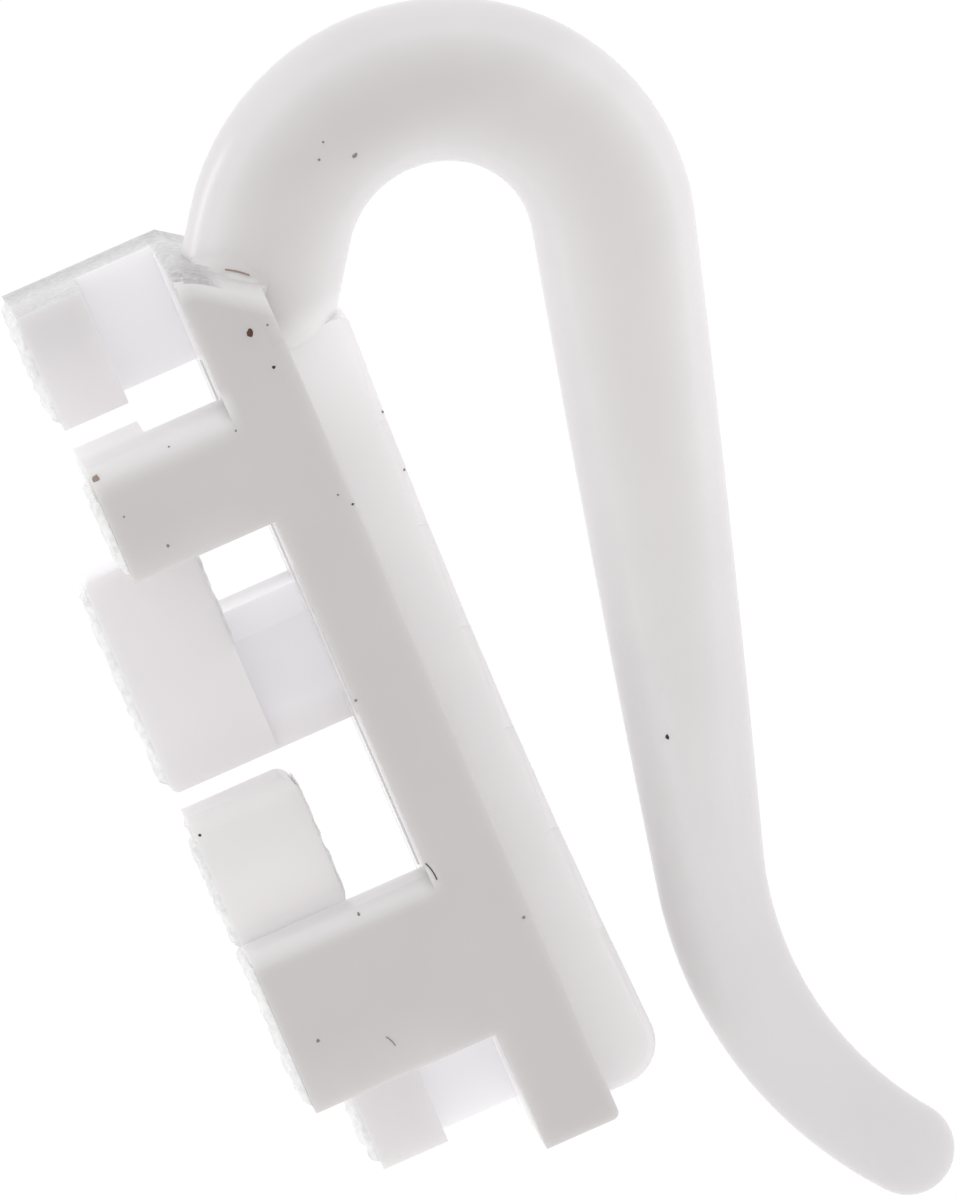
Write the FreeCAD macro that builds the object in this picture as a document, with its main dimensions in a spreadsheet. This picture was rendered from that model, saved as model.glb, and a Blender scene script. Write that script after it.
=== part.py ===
import FreeCAD, Part
import math
import os

import Sketcher

# A moulded one-piece plastic curtain hook, in millimetres.
# +Z runs up along the flat upright plate, +X points from the plate to the hook's arm, and
# the mould's parting plane is Y = 0. The origin is the seat, the top of the arch's inside.
# Fingers on the plate's front stand alternately on its far edge (+Y) and its near edge (-Y).

SIZES = [
    ("plate_width", "6.4"),
    ("plate_thickness", "2.02"),
    ("plate_top_above_seat", "0.53"),
    ("plate_foot", "0.53"),
    ("crown_drop", "2.6"),
    ("crown_rounding", "0.5"),
    ("heel_rounding", "0.2"),
    ("rib_width", "2.3"),
    ("rib_height", "1.75"),
    ("rib_top_drop", "3.06"),
    ("rib_foot_gap", "0.23"),
    ("rib_bow_radius", "210"),
    ("rib_heel_rounding", "1.1"),
    ("rib_rounding", "0.25"),
    ("channel_gap", "2.08"),
    ("web_thickness", "1.6"),
    ("thin_lip", "1.76"),
    ("thick_lip", "2.86"),
    ("prong_thickness", "1.6"),
    ("first_height", "3.13"),
    ("first_gap", "0.5"),
    ("second_height", "3.12"),
    ("second_gap", "0.14"),
    ("third_prong", "2.46"),
    ("third_height", "3.41"),
    ("third_gap", "0.41"),
    ("fourth_prong", "3.48"),
    ("fourth_height", "4.36"),
    ("fourth_gap", "0.3"),
    ("fifth_height", "2.38"),
    ("ramp_height", "2.6"),
    ("finger_rounding", "0.5"),
    ("prong_rounding", "0.4"),
    ("lip_rounding", "0.2"),
    ("band_height", "0.22"),
    ("band_inner_height", "0.14"),
    ("band_margin", "0.18"),
    ("band_draft", "30"),
    ("arch_radius", "4.256"),
    ("root_bend_radius", "4.53"),
    ("blend_angle", "71"),
    ("root_lean", "34.3"),
    ("root_length", "1.68"),
    ("root_depth", "0.05"),
    ("root_dome", "1.7"),
    ("arm_lean", "14.68"),
    ("arm_length", "16.69"),
    ("foot_radius", "9.97"),
    ("tip_lean", "37.7"),
    ("arch_rod_radius", "2.05"),
    ("middle_rod_radius", "1.775"),
    ("ankle_rod_radius", "1.39"),
    ("tip_rod_radius", "1.18"),
]

TOUCH = 0.0001
UP = FreeCAD.Vector(0, 0, 1)

doc = FreeCAD.newDocument("curtain_hook")
sheet = doc.addObject("Spreadsheet::Sheet", "sizes")
for row, (alias, value) in enumerate(SIZES, start=1):
    sheet.set("A" + str(row), alias)
    sheet.set("B" + str(row), value)
    sheet.setAlias("B" + str(row), alias)
doc.recompute()

body = doc.addObject("PartDesign::Body", "curtain_hook")
body.Label = "curtain_hook"
body.Placement = FreeCAD.Placement()


def size(alias):
    return float(sheet.get(alias))


def plane_sketch(name, role, offset=None):
    sketch = body.newObject("Sketcher::SketchObject", name)
    plane = next(feature for feature in body.Origin.OriginFeatures if feature.Role == role)
    sketch.AttachmentSupport = [(plane, "")]
    sketch.MapMode = "FlatFace"
    if offset is not None:
        sketch.setExpression("AttachmentOffset.Base.z", offset)
    return sketch


def pin(sketch, geometry, position, across, up):
    # holds a point at two expressions on the sheet, or at one of them
    place = sketch.getPoint(geometry, position)
    for kind, start, expression in (("DistanceX", place.x, across), ("DistanceY", place.y, up)):
        if expression is None:
            continue
        number = sketch.addConstraint(Sketcher.Constraint(kind, -1, 1, geometry, position, start))
        sketch.setExpression("Constraints[" + str(number) + "]", expression)


def measure(sketch, kind, geometry, start, expression):
    number = sketch.addConstraint(Sketcher.Constraint(kind, geometry, start))
    sketch.setExpression("Constraints[" + str(number) + "]", expression)


def corner_lines(sketch, corners, closed):
    # straight lines from corner to corner, each corner held at its expressions
    count = len(corners)
    rough = []
    for index in range(count):
        angle = 2 * math.pi * index / count
        rough.append(FreeCAD.Vector(math.cos(angle), math.sin(angle), 0))
    lines = count if closed else count - 1
    for index in range(lines):
        sketch.addGeometry(Part.LineSegment(rough[index], rough[(index + 1) % count]))
    for index in range(lines):
        pin(sketch, index, 1, corners[index][0], corners[index][1])
        if closed or index + 1 < lines:
            sketch.addConstraint(Sketcher.Constraint("Coincident", index, 2, (index + 1) % lines, 1))
        else:
            pin(sketch, index, 2, corners[index + 1][0], corners[index + 1][1])
    doc.recompute()


def bowed_outline(sketch, corners, radius):
    # lines through the corners, closed by an arc that turns to the left
    corner_lines(sketch, corners, False)
    last_line = len(corners) - 2
    first = sketch.getPoint(last_line, 2)
    last = sketch.getPoint(0, 1)
    chord = last - first
    reach = math.sqrt(radius ** 2 - (chord.Length / 2) ** 2)
    centre = (first + last) * 0.5 + FreeCAD.Vector(-chord.y, chord.x, 0).normalize() * reach
    start = math.atan2(first.y - centre.y, first.x - centre.x)
    end = math.atan2(last.y - centre.y, last.x - centre.x)
    arc = sketch.addGeometry(Part.ArcOfCircle(Part.Circle(centre, UP, radius), start, end))
    sketch.addConstraint(Sketcher.Constraint("Coincident", last_line, 2, arc, 1))
    sketch.addConstraint(Sketcher.Constraint("Coincident", arc, 2, 0, 1))
    return arc


def pad(name, sketch, length, midplane=False, reverse=False, taper=None):
    feature = body.newObject("PartDesign::Pad", name)
    feature.Profile = sketch
    feature.setExpression("Length", length)
    feature.Midplane = midplane
    feature.Reversed = reverse
    if taper is not None:
        feature.setExpression("TaperAngle", taper)
    doc.recompute()


def halfway(edge):
    return edge.valueAt((edge.FirstParameter + edge.LastParameter) / 2)


def along(x=None, y=None, z=None):
    # a test for edges that keep the given coordinates from end to end
    def test(edge):
        ends = [edge.valueAt(edge.FirstParameter), edge.valueAt(edge.LastParameter)]
        for point in ends + [halfway(edge)]:
            for want, have in ((x, point.x), (y, point.y), (z, point.z)):
                if want is not None and abs(want - have) > TOUCH:
                    return False
        return True
    return test


def fillet(name, radius, *tests):
    base = body.Tip
    names = []
    for index, edge in enumerate(base.Shape.Edges, start=1):
        if any(test(edge) for test in tests):
            names.append("Edge" + str(index))
    if not names:
        raise RuntimeError("no edge to round for " + name)
    feature = body.newObject("PartDesign::Fillet", name)
    feature.Base = (base, names)
    feature.setExpression("Radius", radius)
    doc.recompute()


# Levels of the fingers from the top down, and faces that several features share.
TOP = "sizes.plate_top_above_seat"
FIRST_LOW = "(" + TOP + " - sizes.first_height)"
SECOND_TOP = "(" + FIRST_LOW + " - sizes.first_gap)"
SECOND_LOW = "(" + SECOND_TOP + " - sizes.second_height)"
THIRD_TOP = "(" + SECOND_LOW + " - sizes.second_gap)"
THIRD_WEB = "(" + THIRD_TOP + " - sizes.third_prong)"
THIRD_LOW = "(" + THIRD_WEB + " - sizes.third_height)"
FOURTH_TOP = "(" + THIRD_LOW + " - sizes.third_gap)"
FOURTH_WEB = "(" + FOURTH_TOP + " - sizes.fourth_prong)"
FOURTH_LOW = "(" + FOURTH_WEB + " - sizes.fourth_height)"
FIFTH_TOP = "(" + FOURTH_LOW + " - sizes.fourth_gap)"
FIFTH_LOW = "(" + FIFTH_TOP + " - sizes.fifth_height)"
PLATE_LOW = "(" + FIFTH_LOW + " - sizes.plate_foot)"
CROWN_LOW = "(" + TOP + " - sizes.crown_drop)"

# The plate's back lies just behind the end of the rod's root, so the two stay joined.
BEND_X = "((sizes.arch_radius - sizes.root_bend_radius) * cos(sizes.blend_angle))"
ROOT_X = "(" + BEND_X + " - sizes.root_bend_radius * cos(sizes.root_lean))"
ROOT_END_X = "(" + ROOT_X + " - sizes.root_length * sin(sizes.root_lean))"
BACK = "(" + ROOT_END_X + " + sizes.root_depth)"
FRONT = "(" + BACK + " - sizes.plate_thickness)"
SIDE = "(sizes.plate_width / 2)"
LIP_INNER = "(" + FRONT + " - sizes.channel_gap)"
THIN_FACE = "(" + LIP_INNER + " - sizes.thin_lip)"
THICK_FACE = "(" + LIP_INNER + " - sizes.thick_lip)"

# Crown: the plate's top, a block that rounds over from the front face and runs into the back face.
crown_sketch = plane_sketch("crown_outline", "XZ_Plane")
thickness = size("plate_thickness")
crown_radius = (thickness ** 2 + size("crown_drop") ** 2) / (2 * thickness)
crown_corners = [(FRONT, TOP), (FRONT, CROWN_LOW), (BACK, CROWN_LOW)]
crown_arc = bowed_outline(crown_sketch, crown_corners, crown_radius)
pin(crown_sketch, crown_arc, 3, None, CROWN_LOW)
pad("crown", crown_sketch, "sizes.plate_width", midplane=True)
side = size("plate_width") / 2
front = crown_sketch.getPoint(0, 1).x
top = crown_sketch.getPoint(0, 1).y
back = crown_sketch.getPoint(1, 2).x
crown_low = crown_sketch.getPoint(1, 2).y


def crown_edge(edge):
    place = halfway(edge)
    return along(y=-side)(edge) and front + TOUCH < place.x < back - TOUCH and place.z > crown_low + TOUCH


fillet("crown_near_edge", "sizes.crown_rounding", crown_edge)

# Plate: flat on every side, below the crown.
plate_sketch = plane_sketch("plate_outline", "XZ_Plane")
plate_corners = [(FRONT, CROWN_LOW), (FRONT, PLATE_LOW), (BACK, PLATE_LOW), (BACK, CROWN_LOW)]
corner_lines(plate_sketch, plate_corners, True)
pad("plate", plate_sketch, "sizes.plate_width", midplane=True)
plate_low = plate_sketch.getPoint(1, 1).y

# Rib: a narrow spine down the plate's back, its own back edge bowed in a little.
RIB_FACE = "(" + BACK + " + sizes.rib_height)"
RIB_TOP = "(" + TOP + " - sizes.rib_top_drop)"
RIB_LOW = "(" + PLATE_LOW + " + sizes.rib_foot_gap)"
rib_sketch = plane_sketch("rib_outline", "XZ_Plane")
rib_corners = [(RIB_FACE, RIB_LOW), (BACK, RIB_LOW), (BACK, RIB_TOP), (RIB_FACE, RIB_TOP)]
rib_arc = bowed_outline(rib_sketch, rib_corners, size("rib_bow_radius"))
measure(rib_sketch, "Radius", rib_arc, size("rib_bow_radius"), "sizes.rib_bow_radius")
pad("rib", rib_sketch, "sizes.rib_width", midplane=True)
rib_side = size("rib_width") / 2
rib_face = rib_sketch.getPoint(0, 1).x
rib_low = rib_sketch.getPoint(0, 1).y
rib_top = rib_sketch.getPoint(2, 2).y


def bowed_edge(edge):
    long_enough = edge.Length > (rib_top - rib_low) / 2
    return long_enough and abs(abs(halfway(edge).y) - rib_side) < TOUCH and halfway(edge).x > back + TOUCH


fillet("rib_heel", "sizes.rib_heel_rounding", along(x=rib_face, z=rib_low))
fillet("rib_edges", "sizes.rib_rounding", bowed_edge, along(x=rib_face, z=rib_top))


# Fingers: each is an L in plan, a web on one edge of the plate and a lip across its end.
def finger(name, hand, low, height, face):
    sketch = plane_sketch(name + "_plan", "XY_Plane", low)
    edge = hand + SIDE
    web = hand + "(" + SIDE + " - sizes.web_thickness)"
    corners = [(FRONT, edge), (face, edge), (face, "0"), (LIP_INNER, "0"), (LIP_INNER, web), (FRONT, web)]
    corner_lines(sketch, corners, True)
    pad(name, sketch, height)
    return sketch.Placement.Base.z


# A prong is the free upper end of a thick lip, half as deep and close to the parting plane.
def prong(name, hand, low, height):
    sketch = plane_sketch(name + "_plan", "XY_Plane", low)
    deep = hand + "sizes.prong_thickness"
    corners = [(LIP_INNER, "0"), (THICK_FACE, "0"), (THICK_FACE, deep), (LIP_INNER, deep)]
    corner_lines(sketch, corners, True)
    pad(name, sketch, height)
    return sketch.Placement.Base.z


FAR = "1 * "
NEAR = "-1 * "
finger("first_finger", FAR, FIRST_LOW, "sizes.first_height", THIN_FACE)
second_low = finger("second_finger", NEAR, SECOND_LOW, "sizes.second_height", THIN_FACE)
third_low = finger("third_finger", FAR, THIRD_LOW, "sizes.third_height", THICK_FACE)
third_web = prong("third_finger_prong", FAR, THIRD_WEB, "sizes.third_prong")
finger("fourth_finger", NEAR, FOURTH_LOW, "sizes.fourth_height", THICK_FACE)
fourth_web = prong("fourth_finger_prong", NEAR, FOURTH_WEB, "sizes.fourth_prong")
finger("fifth_finger", FAR, FIFTH_LOW, "sizes.fifth_height", THIN_FACE)

# The third finger's web thickens downwards, so its near face slopes to the parting plane.
ramp_sketch = plane_sketch("ramp_outline", "YZ_Plane", LIP_INNER)
WEB_FACE = "(" + SIDE + " - sizes.web_thickness)"
RAMP_TOP = THIRD_LOW + " + sizes.ramp_height"
corner_lines(ramp_sketch, [("0", THIRD_LOW), (WEB_FACE, THIRD_LOW), (WEB_FACE, RAMP_TOP)], True)
pad("third_finger_ramp", ramp_sketch, "sizes.channel_gap")

# Rounded edges of the fingers, the prongs and the plate's heel.
lip_inner = front - size("channel_gap")
thick_face = lip_inner - size("thick_lip")
second_top = second_low + size("second_height")
third_top = third_web + size("third_prong")
fourth_top = fourth_web + size("fourth_prong")
prong_near = along(y=-size("prong_thickness"), z=fourth_top)
prong_inner = along(x=lip_inner, z=fourth_top)
fillet("second_finger_rounding", "sizes.finger_rounding", along(y=-side, z=second_top))
fillet("fourth_finger_rounding", "sizes.finger_rounding", along(y=-side, z=fourth_web))
fillet("fourth_prong_rounding", "sizes.prong_rounding", prong_near, prong_inner)
third_ends = along(x=thick_face, z=third_top), along(x=thick_face, z=third_low)
fillet("third_finger_rounding", "sizes.lip_rounding", *third_ends)
fillet("plate_heel", "sizes.heel_rounding", along(x=back, z=plate_low))


# Low raised bands on the lips, left by the mould: short of the lip's edges, with sloping sides.
def band(name, face, hand, depth, low, high, rise, outward):
    sketch = plane_sketch(name + "_outline", "YZ_Plane", face)
    inner = hand + "sizes.band_margin"
    outer = hand + "(" + depth + " - sizes.band_margin)"
    bottom = low + " + sizes.band_margin"
    upper = high + " - sizes.band_margin"
    corner_lines(sketch, [(inner, bottom), (outer, bottom), (outer, upper), (inner, upper)], True)
    pad(name, sketch, rise, reverse=outward, taper="-1 * sizes.band_draft")


PRONG = "sizes.prong_thickness"
RISE = "sizes.band_height"
INNER_RISE = "sizes.band_inner_height"
band("first_band", THIN_FACE, FAR, SIDE, FIRST_LOW, TOP, RISE, True)
band("second_band", THIN_FACE, NEAR, SIDE, SECOND_LOW, SECOND_TOP, RISE, True)
band("third_band", THICK_FACE, FAR, PRONG, THIRD_LOW, THIRD_TOP, RISE, True)
band("fourth_band", THICK_FACE, NEAR, SIDE, FOURTH_LOW, FOURTH_WEB, RISE, True)
band("fourth_prong_band", THICK_FACE, NEAR, PRONG, FOURTH_WEB, FOURTH_TOP, RISE, True)
band("fifth_band", THIN_FACE, FAR, SIDE, FIFTH_LOW, FIFTH_TOP, RISE, True)
band("third_inner_band", LIP_INNER, FAR, PRONG, THIRD_WEB, THIRD_TOP, INNER_RISE, False)
band("fourth_inner_band", LIP_INNER, NEAR, PRONG, FOURTH_WEB, FOURTH_TOP, INNER_RISE, False)

# Hook rod: its centre line is an arch and a root bend, a root line, the long arm and the foot.
path = plane_sketch("rod_path", "XZ_Plane")
arm = math.radians(size("arm_lean"))
root = math.radians(size("root_lean"))
blend = math.radians(size("blend_angle"))
tip = math.radians(size("tip_lean"))
arch_centre = FreeCAD.Vector(0, size("arch_rod_radius") - size("arch_radius"), 0)
arch_start = arch_centre + FreeCAD.Vector(math.cos(arm), -math.sin(arm), 0) * size("arch_radius")
ankle = arch_start - FreeCAD.Vector(math.sin(arm), math.cos(arm), 0) * size("arm_length")
foot_centre = ankle + FreeCAD.Vector(math.cos(arm), -math.sin(arm), 0) * size("foot_radius")
step_in = size("arch_radius") - size("root_bend_radius")
bend_centre = arch_centre + FreeCAD.Vector(math.cos(blend), math.sin(blend), 0) * step_in
bend_end = bend_centre + FreeCAD.Vector(-math.cos(root), math.sin(root), 0) * size("root_bend_radius")
root_end = bend_end - FreeCAD.Vector(math.sin(root), math.cos(root), 0) * size("root_length")
arch_circle = Part.Circle(arch_centre, UP, size("arch_radius"))
bend_circle = Part.Circle(bend_centre, UP, size("root_bend_radius"))
foot_circle = Part.Circle(foot_centre, UP, size("foot_radius"))
arch_arc = path.addGeometry(Part.ArcOfCircle(arch_circle, -arm, blend))
bend_arc = path.addGeometry(Part.ArcOfCircle(bend_circle, blend, math.pi - root))
root_line = path.addGeometry(Part.LineSegment(root_end, bend_end))
arm_line = path.addGeometry(Part.LineSegment(arch_start, ankle))
foot_arc = path.addGeometry(Part.ArcOfCircle(foot_circle, math.pi - arm, math.pi + tip))
path.addConstraint(Sketcher.Constraint("Tangent", arch_arc, 2, bend_arc, 1))
path.addConstraint(Sketcher.Constraint("Tangent", bend_arc, 2, root_line, 2))
path.addConstraint(Sketcher.Constraint("Tangent", arch_arc, 1, arm_line, 1))
path.addConstraint(Sketcher.Constraint("Tangent", arm_line, 2, foot_arc, 1))
path.addConstraint(Sketcher.Constraint("PointOnObject", arch_arc, 3, -2))
pin(path, arch_arc, 3, None, "sizes.arch_rod_radius - sizes.arch_radius")
measure(path, "Radius", arch_arc, size("arch_radius"), "sizes.arch_radius")
measure(path, "Radius", bend_arc, size("root_bend_radius"), "sizes.root_bend_radius")
measure(path, "Radius", foot_arc, size("foot_radius"), "sizes.foot_radius")
measure(path, "Distance", root_line, size("root_length"), "sizes.root_length")
measure(path, "Distance", arm_line, size("arm_length"), "sizes.arm_length")
measure(path, "Angle", arch_arc, arm + blend, "sizes.arm_lean + sizes.blend_angle")
measure(path, "Angle", root_line, math.pi / 2 - root, "90 - sizes.root_lean")
measure(path, "Angle", arm_line, -math.pi / 2 - arm, "-90 - sizes.arm_lean")
measure(path, "Angle", foot_arc, arm + tip, "sizes.arm_lean + sizes.tip_lean")
doc.recompute()

# Edges of the finished centre line, from the tip to the root.
FOOT_EDGE = "Edge1"
ARM_EDGE = "Edge2"
ARCH_EDGE = "Edge3"
BEND_EDGE = "Edge4"
ROOT_EDGE = "Edge5"

# Places of the round sections, as shares of an edge's length.
START = 0.0
HALFWAY = 0.5
END = 1.0


def rod_section(name, edge, share, radius):
    section = body.newObject("Sketcher::SketchObject", name)
    section.AttachmentSupport = [(path, edge)]
    section.MapMode = "NormalToEdge"
    section.MapPathParameter = share
    circle = section.addGeometry(Part.Circle(FreeCAD.Vector(0, 0, 0), UP, size(radius)))
    section.addConstraint(Sketcher.Constraint("Coincident", circle, 3, -1, 1))
    measure(section, "Radius", circle, size(radius), "sizes." + radius)
    return section


# The root and the arch keep one thickness, the arm thins steadily and the foot thins to the tip.
root_section = rod_section("root_section", ROOT_EDGE, START, "arch_rod_radius")
arm_section = rod_section("arm_section", ARM_EDGE, START, "arch_rod_radius")
middle_section = rod_section("middle_section", ARM_EDGE, HALFWAY, "middle_rod_radius")
ankle_section = rod_section("ankle_section", ARM_EDGE, END, "ankle_rod_radius")
tip_section = rod_section("tip_section", FOOT_EDGE, END, "tip_rod_radius")
arch = body.newObject("PartDesign::AdditivePipe", "arch")
arch.Spine = (path, [ROOT_EDGE, BEND_EDGE, ARCH_EDGE])
arch.Profile = root_section
doc.recompute()
long_arm = body.newObject("PartDesign::AdditiveLoft", "long_arm")
long_arm.Profile = arm_section
long_arm.Sections = [middle_section, ankle_section]
doc.recompute()
foot = body.newObject("PartDesign::AdditivePipe", "foot")
foot.Spine = (path, [FOOT_EDGE])
foot.Profile = ankle_section
foot.Sections = [tip_section]
foot.Transformation = "Multisection"
doc.recompute()

# Round tip, and a round end that closes the rod's root inside the plate.
tip_ball = body.newObject("PartDesign::AdditiveSphere", "tip_ball")
tip_ball.AttachmentSupport = [(tip_section, "")]
tip_ball.MapMode = "ObjectXY"
tip_ball.setExpression("Radius", "sizes.tip_rod_radius")
tip_ball.Angle1 = -90
tip_ball.Angle2 = 0
root_cap = body.newObject("PartDesign::AdditiveEllipsoid", "root_cap")
root_cap.AttachmentSupport = [(root_section, "")]
root_cap.MapMode = "ObjectXY"
root_cap.setExpression("Radius1", "sizes.root_dome")
root_cap.setExpression("Radius2", "sizes.arch_rod_radius")
root_cap.setExpression("Radius3", "sizes.arch_rod_radius")
root_cap.Angle1 = 0
root_cap.Angle2 = 90
doc.recompute()

# The hook is written only when every feature is sound and all of it is one solid.
for item in doc.Objects:
    if "Invalid" in item.State or "Error" in item.State:
        raise RuntimeError("unsound feature: " + item.Name)
if body.Shape.isNull() or not body.Shape.isValid() or len(body.Shape.Solids) != 1:
    raise RuntimeError("the hook is not one sound solid")
os.makedirs("parts", exist_ok=True)
body.Shape.exportStep("parts/" + body.Label + ".step")
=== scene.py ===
import math
import bmesh
import bpy
from mathutils import Matrix, Vector, noise
from mathutils.bvhtree import BVHTree


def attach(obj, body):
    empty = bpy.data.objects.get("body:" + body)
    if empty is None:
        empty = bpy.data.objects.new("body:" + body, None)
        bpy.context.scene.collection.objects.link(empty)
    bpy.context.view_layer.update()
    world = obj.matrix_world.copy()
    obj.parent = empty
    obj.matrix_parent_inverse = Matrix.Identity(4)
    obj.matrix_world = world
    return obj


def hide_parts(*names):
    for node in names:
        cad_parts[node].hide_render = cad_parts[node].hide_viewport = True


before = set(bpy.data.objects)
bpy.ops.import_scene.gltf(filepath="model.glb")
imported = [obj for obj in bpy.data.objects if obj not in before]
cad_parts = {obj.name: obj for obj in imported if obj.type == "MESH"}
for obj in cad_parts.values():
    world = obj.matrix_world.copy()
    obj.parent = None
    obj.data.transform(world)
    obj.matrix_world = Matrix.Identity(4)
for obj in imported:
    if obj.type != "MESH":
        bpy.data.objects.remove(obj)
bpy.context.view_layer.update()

# Moulding: the plate with its fingers and rib, and the hook rod, all in one shot.
# Material: milky white plastic with a satin skin, with painted shade darkening the faces nearest the viewer
# and painted light on some tops and edges.
# Made from a merged copy of the solid; its mould bands are pressed low to make room for rough ones.
MM = 0.001
front_face = -6.748
thin_face = -10.588
thick_face = -11.688
band_height = 0.22
pressed_height = 0.05
lip_inner = -8.828
inner_band_height = 0.14
half_width = 3.2
top_level = 0.53
surface_margin = 0.02
merge_distance = 0.0005
slope_start = (-6.42, 0.525)
slope_end = (-4.735, -0.71)
slope_fall = (slope_end[1] - slope_start[1]) / (slope_end[0] - slope_start[0])
near_rounding = 0.6
near_drop = near_rounding * math.hypot(1, slope_fall)
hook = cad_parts["curtain_hook"]
shape = bmesh.new()
shape.from_mesh(hook.data)
bmesh.ops.remove_doubles(shape, verts=shape.verts, dist=merge_distance * MM)
for vert in shape.verts:
    for face_x in (thin_face, thick_face):
        if abs(vert.co.x / MM - (face_x - band_height)) < surface_margin:
            vert.co.x = (face_x - pressed_height) * MM
    if abs(vert.co.x / MM - (lip_inner + inner_band_height)) < surface_margin:
        vert.co.x = (lip_inner + pressed_height) * MM
    if vert.co.y / MM < surface_margin / 2 - half_width:
        crown_level = slope_start[1] + min(slope_fall * (vert.co.x / MM - slope_start[0]), 0)
        vert.co.z = min(vert.co.z, (crown_level - near_drop) * MM)
    if abs(vert.co.y / MM) > half_width - surface_margin / 2:
        vert.co.y = math.copysign((half_width - surface_margin) * MM, vert.co.y)

moulding_mesh = bpy.data.meshes.new("moulding")
shape.to_mesh(moulding_mesh)
shape.free()
moulding = bpy.data.objects.new("moulding", moulding_mesh)
bpy.context.scene.collection.objects.link(moulding)

# Its shoulder is level over the first finger and then slopes, square to the root of the rod.
shoulder_front = front_face + surface_margin / 2
shoulder_low = -2.4
shoulder_outline = [
    (shoulder_front, slope_start[1]),
    slope_start,
    slope_end,
    (slope_end[0], shoulder_low),
    (shoulder_front, shoulder_low),
]
shoulder_half = half_width - 1.5 * surface_margin
block = bmesh.new()
near_ring = [block.verts.new((x * MM, -shoulder_half * MM, z * MM)) for x, z in shoulder_outline]
near_face = block.faces.new(near_ring)
extruded = bmesh.ops.extrude_face_region(block, geom=[near_face], use_keep_orig=True)
far_ring = [item for item in extruded["geom"] if isinstance(item, bmesh.types.BMVert)]
bmesh.ops.translate(block, vec=(0, 2 * shoulder_half * MM, 0), verts=far_ring)
bmesh.ops.recalc_face_normals(block, faces=block.faces)
crown_edges = []
for edge in block.edges:
    if all(vert.co.y < 0 and vert.co.z > (slope_end[1] - surface_margin) * MM for vert in edge.verts):
        crown_edges.append(edge)
bmesh.ops.bevel(
    block,
    geom=crown_edges,
    offset=near_rounding * MM,
    affect="EDGES",
    segments=8,
    profile=0.5,
    material=-1,
)

# A hollow rounding leads from the slope into the rod; it fades out on the outer side and at both ends.
root_foot = Vector((-4.495, 0, -0.886)) * MM
root_axis = Vector((0.5635, 0, 0.8261))
outer_side = Vector((-0.8261, 0, 0.5635))
rod_radius = 2.05
root_rounding = 0.6
rounding_steps = 8
collar_inner = 1.7
collar_sunk = -0.25
collar_reach = 88
outer_fade_start = 20
outer_fade_run = 35
end_fade_run = 20
profile = [(collar_inner, collar_sunk), (rod_radius + root_rounding, collar_sunk)]
for step in range(rounding_steps + 1):
    turned = math.radians(270 - 90 * step / rounding_steps)
    across = rod_radius + root_rounding + root_rounding * math.cos(turned)
    profile.append((across, root_rounding + root_rounding * math.sin(turned)))
profile.append((collar_inner, root_rounding))
collar = bmesh.new()
first_side = Matrix.Rotation(math.radians(-collar_reach), 3, root_axis) @ outer_side
ring = [collar.verts.new(root_foot + (first_side * out + root_axis * up) * MM) for out, up in profile]
collar.faces.new(ring)
sweep = collar.verts[:] + collar.edges[:] + collar.faces[:]
bmesh.ops.spin(
    collar,
    geom=sweep,
    cent=root_foot,
    axis=root_axis,
    angle=math.radians(2 * collar_reach),
    steps=36,
    use_merge=False,
)
for vert in collar.verts:
    from_foot = (vert.co - root_foot) / MM
    up = from_foot.dot(root_axis)
    outward = from_foot - root_axis * up
    turned = math.degrees(outward.angle(outer_side))
    past_outer = min(max((turned - outer_fade_start) / outer_fade_run, 0.0), 1.0)
    before_end = min(max((collar_reach - turned) / end_fade_run, 0.0), 1.0)
    strength = (0.12 + 0.88 * past_outer) * (0.1 + 0.9 * before_end)
    if outward.length > rod_radius - surface_margin:
        outward *= (rod_radius + (outward.length - rod_radius) * strength) / outward.length
    if up > 0:
        up *= strength
    vert.co = root_foot + (outward + root_axis * up) * MM
bmesh.ops.recalc_face_normals(collar, faces=collar.faces)
additions = []
for name, addition in (("shoulder_block", block), ("root_collar", collar)):
    mesh = bpy.data.meshes.new(name)
    addition.to_mesh(mesh)
    addition.free()
    added = bpy.data.objects.new(name, mesh)
    bpy.context.scene.collection.objects.link(added)
    joining = moulding.modifiers.new(name, "BOOLEAN")
    joining.operation = "UNION"
    joining.solver = "MANIFOLD"
    joining.object = added
    additions.append(added)
united = moulding.evaluated_get(bpy.context.evaluated_depsgraph_get())
joined = bpy.data.meshes.new_from_object(united)
moulding.modifiers.clear()
moulding.data = joined
for added in additions:
    bpy.data.objects.remove(added)

# The mould left the first finger's roof and the slope rough, so they carry a mark for the material.
# The rounded edge of the crown carries another, for painted light that makes it paler than the face below
# it.
slope_normal = Vector((0.593, 0, 0.805))
roof_roughness = 0.8
slope_roughness = 1.0
crown_painted_light_level = 0.62
marked = bmesh.new()
marked.from_mesh(joined)
bmesh.ops.remove_doubles(marked, verts=marked.verts, dist=merge_distance * MM)
bmesh.ops.dissolve_limit(marked, angle_limit=math.radians(0.2), verts=marked.verts, edges=marked.edges)
marked.normal_update()
rough_mark = marked.faces.layers.float.new("rough_skin")
for face in marked.faces:
    middle = face.calc_center_median() / MM
    if middle.x < front_face and middle.z > top_level - surface_margin:
        face[rough_mark] = roof_roughness
    over_slope = front_face < middle.x < slope_end[0] + surface_margin
    if over_slope and middle.z > slope_end[1] - 2 * surface_margin and face.normal.dot(slope_normal) > 0.7:
        face[rough_mark] = slope_roughness
    face.smooth = True
painted_light_mark = marked.verts.layers.float.new("crown_painted_light")
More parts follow.
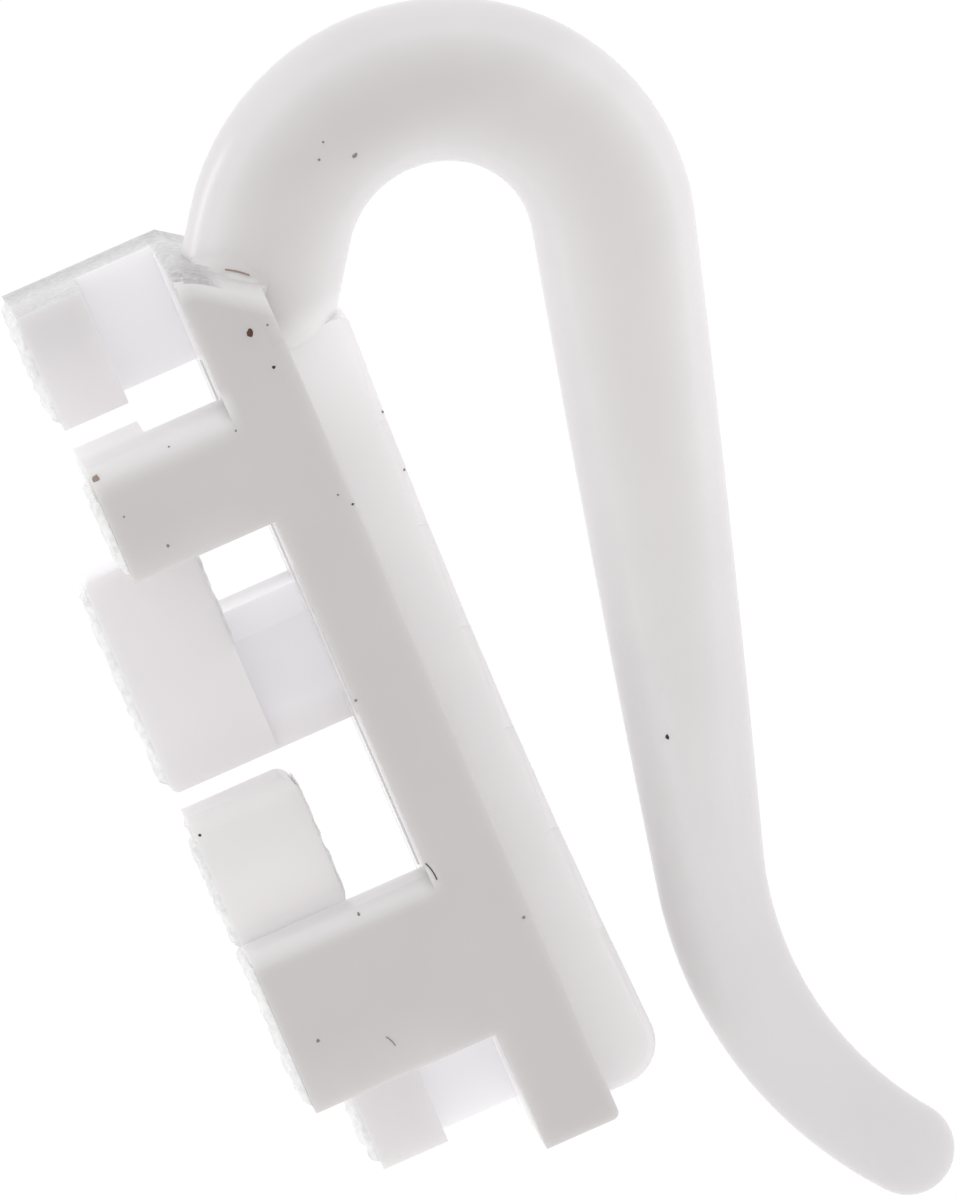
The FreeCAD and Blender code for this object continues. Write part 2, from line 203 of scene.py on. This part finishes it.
for vert in marked.verts:
    spot = vert.co / MM
    crown_level = slope_start[1] + min(slope_fall * (spot.x - slope_start[0]), 0)
    above_rounding = (spot.z - crown_level + near_drop) / near_drop
    over_slope = front_face < spot.x < slope_end[0] + surface_margin
    if over_slope and spot.y < -rod_radius - surface_margin and 0 < above_rounding < 1.15:
        vert[painted_light_mark] = crown_painted_light_level * min(above_rounding * 1.5, 1.0)
surface = BVHTree.FromBMesh(marked)

# Each corner's normal leans to the largest face that it joins smoothly, so flat faces shade flat.
smooth_limit = math.cos(math.radians(30))
corner_normals = []
for face in marked.faces:
    for vert in face.verts:
        lean = Vector()
        for beside in vert.link_faces:
            if beside.normal.dot(face.normal) > smooth_limit:
                lean += beside.normal * (beside.calc_area() / MM ** 2)
        corner_normals.append(lean.normalized())
marked.to_mesh(joined)
marked.free()
joined.normals_split_custom_set(corner_normals)

# Its colour follows the depth across the plate as painted shade, darkest on the faces nearest the viewer,
# with faint clouds and grain on the rough faces.
depth_painted_shade = [
    (-3.2, (0.575, 0.548, 0.546)),
    (-2.5, (0.615, 0.588, 0.588)),
    (-2.0, (0.675, 0.646, 0.642)),
    (-1.4, (0.755, 0.735, 0.740)),
    (0.02, (0.735, 0.708, 0.715)),
    (0.5, (0.835, 0.822, 0.840)),
    (1.7, (0.845, 0.832, 0.850)),
    (2.4, (0.790, 0.772, 0.785)),
    (3.2, (0.680, 0.660, 0.668)),
]
# Painted shade by height: the upper crown and arch darken upwards, and the arm darkens towards its foot.
crown_painted_shade_levels = [(-4.0, 1.0), (-1.0, 0.985), (0.5, 0.955), (2.0, 0.895)]
arm_painted_shade_levels = [(-27.0, 0.83), (-22.0, 0.84), (-16.0, 0.90), (-9.0, 0.97), (-4.0, 1.0)]
plastic = bpy.data.materials.new("milky_plastic")
plastic.use_nodes = True
nodes = plastic.node_tree.nodes
links = plastic.node_tree.links
shader = nodes["Principled BSDF"]
shader.inputs["Roughness"].default_value = 0.28
shader.inputs["Subsurface Weight"].default_value = 0.4
shader.inputs["Subsurface Radius"].default_value = (1.0, 1.0, 1.0)
shader.inputs["Subsurface Scale"].default_value = 0.8 * MM
place = nodes.new("ShaderNodeTexCoord")
split = nodes.new("ShaderNodeSeparateXYZ")
links.new(place.outputs["Object"], split.inputs["Vector"])
depth = nodes.new("ShaderNodeMapRange")
depth.inputs["From Min"].default_value = -half_width * MM
depth.inputs["From Max"].default_value = half_width * MM
links.new(split.outputs["Y"], depth.inputs["Value"])
clouds = nodes.new("ShaderNodeTexNoise")
clouds.inputs["Scale"].default_value = 0.35 / MM
clouds.inputs["Detail"].default_value = 2.0
links.new(place.outputs["Object"], clouds.inputs["Vector"])
cloud_level = nodes.new("ShaderNodeMapRange")
cloud_level.inputs["To Min"].default_value = 0.965
cloud_level.inputs["To Max"].default_value = 1.035
links.new(clouds.outputs["Fac"], cloud_level.inputs["Value"])
low_level = -30.0
high_level = 5.0
height = nodes.new("ShaderNodeMapRange")
height.inputs["From Min"].default_value = low_level * MM
height.inputs["From Max"].default_value = high_level * MM
links.new(split.outputs["Z"], height.inputs["Value"])


def ramp(source, low, high, stops, blend):
    tones = nodes.new("ShaderNodeValToRGB")
    while len(tones.color_ramp.elements) < len(stops):
        tones.color_ramp.elements.new(1.0)
    for stop, (level, colour) in zip(tones.color_ramp.elements, stops):
        stop.position = (level - low) / (high - low)
        stop.color = (*colour, 1)
    tones.color_ramp.interpolation = blend
    links.new(source, tones.inputs["Fac"])
    return tones.outputs["Color"]


def depth_ramp(stops):
    return ramp(depth.outputs["Result"], -half_width, half_width, stops, "LINEAR")


def height_ramp(levels):
    stops = [(level, (share, share, share)) for level, share in levels]
    return ramp(height.outputs["Result"], low_level, high_level, stops, "EASE")


def product(one, other):
    step = nodes.new("ShaderNodeMath")
    step.operation = "MULTIPLY"
    links.new(one, step.inputs[0])
    links.new(other, step.inputs[1])
    return step.outputs["Value"]


def share_across(start, end):
    share = nodes.new("ShaderNodeMapRange")
    share.inputs["From Min"].default_value = start * MM
    share.inputs["From Max"].default_value = end * MM
    links.new(split.outputs["X"], share.inputs["Value"])
    return share.outputs["Result"]


# Lays painted light and shade by height on the part of the plate beyond a line across it.
def painted_shading_beyond(start, end, tones):
    toned = nodes.new("ShaderNodeMix")
    toned.inputs["A"].default_value = 1.0
    links.new(share_across(start, end), toned.inputs["Factor"])
    links.new(height_ramp(tones), toned.inputs["B"])
    return toned.outputs["Result"]


# Painted light and shade by height: the lips lighten on the fourth prong and just below the top and darken
# at the very top and foot; the fingers lighten near their lower edges.
lip_painted_shading_levels = [
    (-20.9, 0.97),
    (-20.6, 1.0),
    (-16.4, 1.0),
    (-15.6, 1.09),
    (-13.1, 1.0),
    (-2.75, 1.0),
    (-2.45, 1.045),
    (0.2, 0.9),
]
finger_painted_light_levels = [(-20.7, 1.0), (-20.4, 1.07), (-18.6, 1.0), (-6.6, 1.0), (-6.1, 1.06), (-4.9, 1.0)]
arm_painted_shade = painted_shading_beyond(-2.9, -2.3, arm_painted_shade_levels)
lip_painted_shading = painted_shading_beyond(-8.7, -8.8, lip_painted_shading_levels)
finger_painted_light = painted_shading_beyond(-7.0, -8.4, finger_painted_light_levels)
crown_clouds_and_painted_shade = product(cloud_level.outputs["Result"], height_ramp(crown_painted_shade_levels))
painted_shading_and_clouds = product(product(arm_painted_shade, lip_painted_shading), product(finger_painted_light, crown_clouds_and_painted_shade))
shaded = nodes.new("ShaderNodeVectorMath")
shaded.operation = "SCALE"
links.new(depth_ramp(depth_painted_shade), shaded.inputs[0])
links.new(painted_shading_and_clouds, shaded.inputs["Scale"])

# Painted light: the near fingers' rounded tops and the crown's rounded edge fade to a pale tone.
# A colour mix node is wired by socket number, because its sockets share their names.
first_colour = 6
second_colour = 7
mixed_colour = 2
painted_top_light_levels = [
    (-16.75, 0.0),
    (-16.1, 0.8),
    (-15.9, 0.8),
    (-15.75, 0.0),
    (-4.0, 0.0),
    (-3.1, 0.85),
    (-2.75, 0.85),
    (-2.6, 0.0),
]
finger_painted_light_share = product(height_ramp(painted_top_light_levels), share_across(front_face + 0.3, front_face - 0.3))
painted_top_light = nodes.new("ShaderNodeMix")
painted_top_light.data_type = "RGBA"
painted_top_light.inputs[second_colour].default_value = (0.80, 0.785, 0.795, 1)
crown_painted_light = nodes.new("ShaderNodeAttribute")
crown_painted_light.attribute_name = "crown_painted_light"
brightest_painted_light = nodes.new("ShaderNodeMath")
brightest_painted_light.operation = "MAXIMUM"
links.new(finger_painted_light_share, brightest_painted_light.inputs[0])
links.new(crown_painted_light.outputs["Fac"], brightest_painted_light.inputs[1])
links.new(brightest_painted_light.outputs["Value"], painted_top_light.inputs["Factor"])
links.new(shaded.outputs["Vector"], painted_top_light.inputs[first_colour])

# Painted light makes the upper part of the rib paler still, and the rough faces take a fine grain.
rib_painted_light_levels = [(-11.0, 0.0), (-6.0, 0.2), (-3.2, 0.45), (-2.5, 0.45), (-1.6, 0.0)]
rib_painted_light_share = product(height_ramp(rib_painted_light_levels), product(share_across(-4.74, -4.66), share_across(-2.6, -2.9)))
rib_painted_light = nodes.new("ShaderNodeMix")
rib_painted_light.data_type = "RGBA"
rib_painted_light.inputs[second_colour].default_value = (0.97, 0.955, 0.96, 1)
links.new(rib_painted_light_share, rib_painted_light.inputs["Factor"])
links.new(painted_top_light.outputs[mixed_colour], rib_painted_light.inputs[first_colour])
rough_faces = nodes.new("ShaderNodeAttribute")
rough_faces.attribute_name = "rough_skin"
grains = nodes.new("ShaderNodeTexNoise")
grains.inputs["Scale"].default_value = 7.0 / MM
grains.inputs["Detail"].default_value = 3.0
links.new(place.outputs["Object"], grains.inputs["Vector"])
grain_tone = nodes.new("ShaderNodeValToRGB")
grain_tone.color_ramp.elements[0].position = 0.35
grain_tone.color_ramp.elements[0].color = (0.43, 0.42, 0.425, 1)
grain_tone.color_ramp.elements[1].position = 0.65
grain_tone.color_ramp.elements[1].color = (0.57, 0.565, 0.57, 1)
links.new(grains.outputs["Fac"], grain_tone.inputs["Fac"])
rough_share = product(rough_faces.outputs["Fac"], share_across(-5.6, -5.95))
skin = nodes.new("ShaderNodeMix")
skin.data_type = "RGBA"
links.new(rough_share, skin.inputs["Factor"])
links.new(rib_painted_light.outputs[mixed_colour], skin.inputs[first_colour])
links.new(grain_tone.outputs["Color"], skin.inputs[second_colour])
links.new(skin.outputs[mixed_colour], shader.inputs["Base Color"])

# Painted light: a faint glow stands in for light that comes through from behind, lifting the deeper faces a
# little.
depth_glows = [(-2.1, 0.0), (-1.3, 0.06), (0.0, 0.07), (1.6, 0.125), (2.4, 0.05), (3.2, 0.0)]
glow_stops = [(level, (share, share, share)) for level, share in depth_glows]
links.new(depth_ramp(glow_stops), shader.inputs["Emission Color"])
shader.inputs["Emission Strength"].default_value = 1.0
plastic.cycles.emission_sampling = "NONE"
pits = nodes.new("ShaderNodeBump")
pits.inputs["Distance"].default_value = 0.04 * MM
links.new(rough_share, pits.inputs["Strength"])
links.new(grains.outputs["Fac"], pits.inputs["Height"])
links.new(pits.outputs["Normal"], shader.inputs["Normal"])
joined.materials.clear()
joined.materials.append(plastic)
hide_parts("curtain_hook")
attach(moulding, "root")

# Parting ridge: a low line along the middle of the plate's front, seen edge-on through the gaps.
# Material: the same plastic as the moulding.
# Made from one long thin bar, half sunk into the plate.
ridge_size = (0.1, 0.23, 14.0)
ridge_middle = (front_face, -0.235, -9.3)
bar = bmesh.new()
bmesh.ops.create_cube(bar, size=MM)
bmesh.ops.scale(bar, vec=ridge_size, verts=bar.verts)
bmesh.ops.translate(bar, vec=Vector(ridge_middle) * MM, verts=bar.verts)
ridge_mesh = bpy.data.meshes.new("parting_ridge")
bar.to_mesh(ridge_mesh)
bar.free()
ridge_mesh.materials.append(plastic)
parting_ridge = bpy.data.objects.new("parting_ridge", ridge_mesh)
bpy.context.scene.collection.objects.link(parting_ridge)
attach(parting_ridge, "root")

# Mould bands: ragged low ridges on the outer faces of the finger lips.
# Material: the same plastic, so thin that it looks white.
# Made from fine grids bulged by noise and closed behind, inside the lip.
band_cell = 0.06
band_back = 0.08
band_rim = 0.16
lump_size = 0.28
white_skin = bpy.data.materials.new("thin_white_skin")
white_skin.use_nodes = True
skin_nodes = white_skin.node_tree.nodes
skin_links = white_skin.node_tree.links
skin_shader = skin_nodes["Principled BSDF"]
skin_shader.inputs["Roughness"].default_value = 0.3
skin_place = skin_nodes.new("ShaderNodeTexCoord")
skin_noise = skin_nodes.new("ShaderNodeTexNoise")
skin_noise.inputs["Scale"].default_value = 4.0 / MM
skin_links.new(skin_place.outputs["Object"], skin_noise.inputs["Vector"])
skin_tone = skin_nodes.new("ShaderNodeValToRGB")
skin_tone.color_ramp.elements[0].position = 0.3
skin_tone.color_ramp.elements[0].color = (0.76, 0.755, 0.76, 1)
skin_tone.color_ramp.elements[1].position = 0.6
skin_tone.color_ramp.elements[1].color = (0.90, 0.90, 0.90, 1)
skin_links.new(skin_noise.outputs["Fac"], skin_tone.inputs["Fac"])
skin_links.new(skin_tone.outputs["Color"], skin_shader.inputs["Base Color"])


def rough_band(name, face_x, rise, near, far, low, high):
    ridge = bmesh.new()
    across = (far - near) / 2
    along = (high - low) / 2
    columns = round(2 * across / band_cell)
    rows = round(2 * along / band_cell)
    upright = Matrix((
        (0, 0, 1, face_x),
        (across, 0, 0, near + across),
        (0, along, 0, low + along),
        (0, 0, 0, 1),
    ))
    bmesh.ops.create_grid(ridge, x_segments=columns, y_segments=rows, size=1.0, matrix=upright)
    for vert in ridge.verts:
        inset = min(vert.co.y - near, far - vert.co.y, vert.co.z - low, high - vert.co.z)
        rim = math.sin(min(inset / band_rim, 1.0) * math.pi / 2)
        lump = 0.72 + 0.5 * noise.noise(vert.co / lump_size)
        vert.co.x = face_x + rise * rim * min(max(lump, 0.3), 1.0)
    extruded = bmesh.ops.extrude_face_region(ridge, geom=ridge.faces[:], use_keep_orig=True)
    for item in extruded["geom"]:
        if isinstance(item, bmesh.types.BMVert):
            item.co.x = face_x - math.copysign(band_back, rise)
    bmesh.ops.recalc_face_normals(ridge, faces=ridge.faces)
    for face in ridge.faces:
        face.smooth = True
    bmesh.ops.scale(ridge, vec=(MM, MM, MM), verts=ridge.verts)
    mesh = bpy.data.meshes.new(name)
    ridge.to_mesh(mesh)
    ridge.free()
    mesh.set_sharp_from_angle(angle=math.radians(50))
    mesh.materials.append(white_skin)
    band = bpy.data.objects.new(name, mesh)
    bpy.context.scene.collection.objects.link(band)
    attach(band, "root")


outer_rise = surface_margin / 2 - band_height
inner_rise = 0.75 * inner_band_height
rough_band("first_band", thin_face, outer_rise, 0.18, 3.0, -2.40, 0.36)
rough_band("second_band", thin_face, outer_rise, -3.0, -0.18, -6.04, -3.95)
rough_band("third_band", thick_face, outer_rise, 0.18, 1.45, -12.0, -6.8)
rough_band("fourth_band", thick_face, outer_rise, -3.0, -0.18, -20.3, -16.4)
rough_band("fourth_prong_band", thick_face, outer_rise, -1.45, -0.18, -16.2, -13.3)
rough_band("fifth_band", thin_face, outer_rise, 0.18, 3.0, -22.98, -20.96)
rough_band("third_inner_band", lip_inner, inner_rise, 0.06, 1.4, -9.4, -6.6)
rough_band("fourth_inner_band", lip_inner, inner_rise, -1.5, -0.2, -16.1, -13.0)

# Specks: dust and dirt caught on the moulding, as the photo shows it.
# Material: brown, tan, black and grey dirt, each dull.
# Made from small flattened balls set into the surface.
in_front = -10
speck_depth = 0.026


def dirt_material(name, colour, darker):
    dirt = bpy.data.materials.new(name)
    dirt.use_nodes = True
    dirt_nodes = dirt.node_tree.nodes
    dirt_place = dirt_nodes.new("ShaderNodeTexCoord")
    dirt_noise = dirt_nodes.new("ShaderNodeTexNoise")
    dirt_noise.inputs["Scale"].default_value = 12.0 / MM
    dirt_tone = dirt_nodes.new("ShaderNodeValToRGB")
    dirt_tone.color_ramp.elements[0].color = (*darker, 1)
    dirt_tone.color_ramp.elements[1].color = (*colour, 1)
    dirt.node_tree.links.new(dirt_place.outputs["Object"], dirt_noise.inputs["Vector"])
    dirt.node_tree.links.new(dirt_noise.outputs["Fac"], dirt_tone.inputs["Fac"])
    dirt.node_tree.links.new(dirt_tone.outputs["Color"], dirt_nodes["Principled BSDF"].inputs["Base Color"])
    dirt_nodes["Principled BSDF"].inputs["Roughness"].default_value = 0.9
    return dirt


brown = dirt_material("brown_dirt", (0.16, 0.07, 0.05), (0.03, 0.012, 0.01))
tan = dirt_material("tan_dirt", (0.40, 0.32, 0.27), (0.22, 0.16, 0.13))
black = dirt_material("black_dirt", (0.06, 0.05, 0.05), (0.015, 0.012, 0.012))
grey = dirt_material("grey_dirt", (0.30, 0.28, 0.27), (0.14, 0.13, 0.125))


def speck(name, x, z, width, height, dirt):
    hit = surface.ray_cast(Vector((x, in_front, z)) * MM, Vector((0, 1, 0)))[0]
    grain = bmesh.new()
    bmesh.ops.create_icosphere(grain, subdivisions=2, radius=0.5)
    for vert in grain.verts:
        vert.co *= 1.0 + 0.5 * noise.noise(vert.co * 2.5 + Vector((x, 0, z)))
    bmesh.ops.scale(grain, vec=(width * MM, speck_depth * MM, height * MM), verts=grain.verts)
    bmesh.ops.translate(grain, vec=hit, verts=grain.verts)
    mesh = bpy.data.meshes.new(name)
    grain.to_mesh(mesh)
    grain.free()
    mesh.materials.append(dirt)
    piece = bpy.data.objects.new(name, mesh)
    bpy.context.scene.collection.objects.link(piece)
    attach(piece, "root")


speck("speck_on_crown", -5.46, -1.53, 0.18, 0.20, brown)
speck("dot_below_crown", -5.25, -2.58, 0.09, 0.09, black)
speck("speck_by_root", -4.98, -1.53, 0.06, 0.06, grey)
speck("speck_on_arch", -1.26, 1.29, 0.16, 0.13, grey)
speck("dot_on_arch", -1.85, 1.93, 0.06, 0.06, grey)
speck("second_dot_on_arch", -2.12, 1.56, 0.09, 0.06, grey)
speck("speck_on_second_lip", -10.45, -3.40, 0.16, 0.26, tan)
speck("dot_on_second_finger", -9.46, -5.67, 0.08, 0.08, grey)
speck("speck_on_second_web", -6.76, -3.68, 0.06, 0.06, grey)
speck("upper_dot_on_second_web", -8.45, -3.37, 0.06, 0.05, grey)
speck("faint_dot_on_second_lip", -10.18, -4.54, 0.05, 0.05, grey)
speck("speck_on_arm", 0.18, -15.67, 0.13, 0.13, black)
speck("upper_dot_by_rib", -5.05, -6.23, 0.06, 0.06, grey)
speck("lower_dot_by_rib", -4.80, -6.60, 0.08, 0.06, black)
speck("upper_dot_on_rib", -3.14, -5.20, 0.08, 0.08, grey)
speck("lower_dot_on_rib", -3.21, -6.79, 0.07, 0.07, grey)
speck("dash_on_fourth_finger", -8.74, -16.30, 0.06, 0.18, grey)
speck("dot_on_fourth_prong", -11.55, -13.10, 0.08, 0.08, black)
speck("dot_by_third_web", -6.68, -11.22, 0.07, 0.07, grey)
speck("dot_on_fourth_finger", -10.93, -18.79, 0.09, 0.09, grey)
speck("dot_on_plate_foot", -4.98, -18.03, 0.08, 0.08, grey)


# Hairs: fine fibres lying on the moulding.
# Material: tan, black and grey dirt.
# Made from thin bars, cut along their length and bowed.
def hair(name, start, end, bow, thickness, dirt):
    fibre = bmesh.new()
    bmesh.ops.create_cube(fibre, size=1.0)
    bmesh.ops.scale(fibre, vec=(1, thickness, thickness), verts=fibre.verts)
    lengthwise = [edge for edge in fibre.edges if abs(edge.verts[0].co.x - edge.verts[1].co.x) > 0.5]
    bmesh.ops.subdivide_edges(fibre, edges=lengthwise, cuts=9)
    first = Vector((start[0], 0, start[1]))
    run = Vector((end[0], 0, end[1])) - first
    across = Vector((-run.z, 0, run.x)).normalized()
    for vert in fibre.verts:
        share = vert.co.x + 0.5
        spot = first + run * share + across * (vert.co.z + bow * math.sin(share * math.pi))
        hit = surface.ray_cast(Vector((spot.x, in_front, spot.z)) * MM, Vector((0, 1, 0)))[0]
        vert.co = hit + Vector((0, vert.co.y * MM, 0))
    bmesh.ops.recalc_face_normals(fibre, faces=fibre.faces)
    mesh = bpy.data.meshes.new(name)
    fibre.to_mesh(mesh)
    fibre.free()
    mesh.materials.append(dirt)
    piece = bpy.data.objects.new(name, mesh)
    bpy.context.scene.collection.objects.link(piece)
    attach(piece, "root")


hair("hair_on_root", (-5.36, -0.07), (-4.86, -0.42), 0.03, 0.035, tan)
hair("hair_on_plate", (-6.70, -15.75), (-6.60, -16.25), 0.03, 0.03, black)
hair("hair_on_fourth_finger", (-9.33, -19.40), (-9.20, -19.70), 0.02, 0.025, grey)

# Floor: a plain white sweep well below the hook.
floor_mesh = bpy.data.meshes.new("floor")
floor_shape = bmesh.new()
bmesh.ops.create_grid(floor_shape, x_segments=1, y_segments=1, size=2.0)
bmesh.ops.translate(floor_shape, vec=(0, 0, -60 * MM), verts=floor_shape.verts)
floor_shape.to_mesh(floor_mesh)
floor_shape.free()
floor_white = bpy.data.materials.new("floor_white")
floor_white.use_nodes = True
floor_shader = floor_white.node_tree.nodes["Principled BSDF"]
floor_shader.inputs["Base Color"].default_value = (1, 1, 1, 1)
floor_shader.inputs["Roughness"].default_value = 1.0
floor_shader.inputs["Specular IOR Level"].default_value = 0.0
floor_mesh.materials.append(floor_white)
floor = bpy.data.objects.new("floor", floor_mesh)
bpy.context.scene.collection.objects.link(floor)

# Light: an even white surround, as in a photographer's light tent.
# A narrow strip lamp, behind and to the left, draws the bright line along the rod's outer side.
world = bpy.data.worlds.new("light_tent")
bpy.context.scene.world = world
world.use_nodes = True
surround = world.node_tree.nodes["Background"]
surround.inputs["Color"].default_value = (1, 1, 1, 1)
surround.inputs["Strength"].default_value = 1.0
strip_place = Vector((-211, 170, 135)) * MM
strip_aim = Vector((-3.5, 0, 1.5)) * MM
strip_light = bpy.data.lights.new("strip_lamp", "AREA")
strip_light.shape = "RECTANGLE"
strip_light.size = 22 * MM
strip_light.size_y = 110 * MM
strip_light.energy = 0.055
strip_lamp = bpy.data.objects.new("strip_lamp", strip_light)
strip_lamp.location = strip_place
strip_lamp.rotation_euler = (strip_aim - strip_place).to_track_quat("-Z", "Y").to_euler()
bpy.context.scene.collection.objects.link(strip_lamp)

# Camera: a long lens a little above the hook, rolled so that the plate leans to the left.
view_azimuth = math.radians(-1.92)
view_elevation = math.radians(12.0)
view_roll = math.radians(-23.4)
view_target = Vector((-2.817, -1.645, -10.464)) * MM
view_distance = 0.2
view_height = 30.0 * MM
turn = Matrix.Rotation(view_azimuth, 4, "Z")
tilt = Matrix.Rotation(math.pi / 2 - view_elevation, 4, "X")
roll = Matrix.Rotation(view_roll, 4, "Z")
facing = turn @ tilt @ roll
camera_data = bpy.data.cameras.new("photo_view")
camera_data.type = "ORTHO"
camera_data.ortho_scale = view_height
camera_data.clip_start = 0.01
camera = bpy.data.objects.new("photo_view", camera_data)
bpy.context.scene.collection.objects.link(camera)
stand = view_target + facing.to_3x3() @ Vector((0, 0, view_distance))
camera.matrix_world = Matrix.Translation(stand) @ facing
bpy.context.scene.camera = camera
bpy.context.scene.view_settings.view_transform = "Standard"
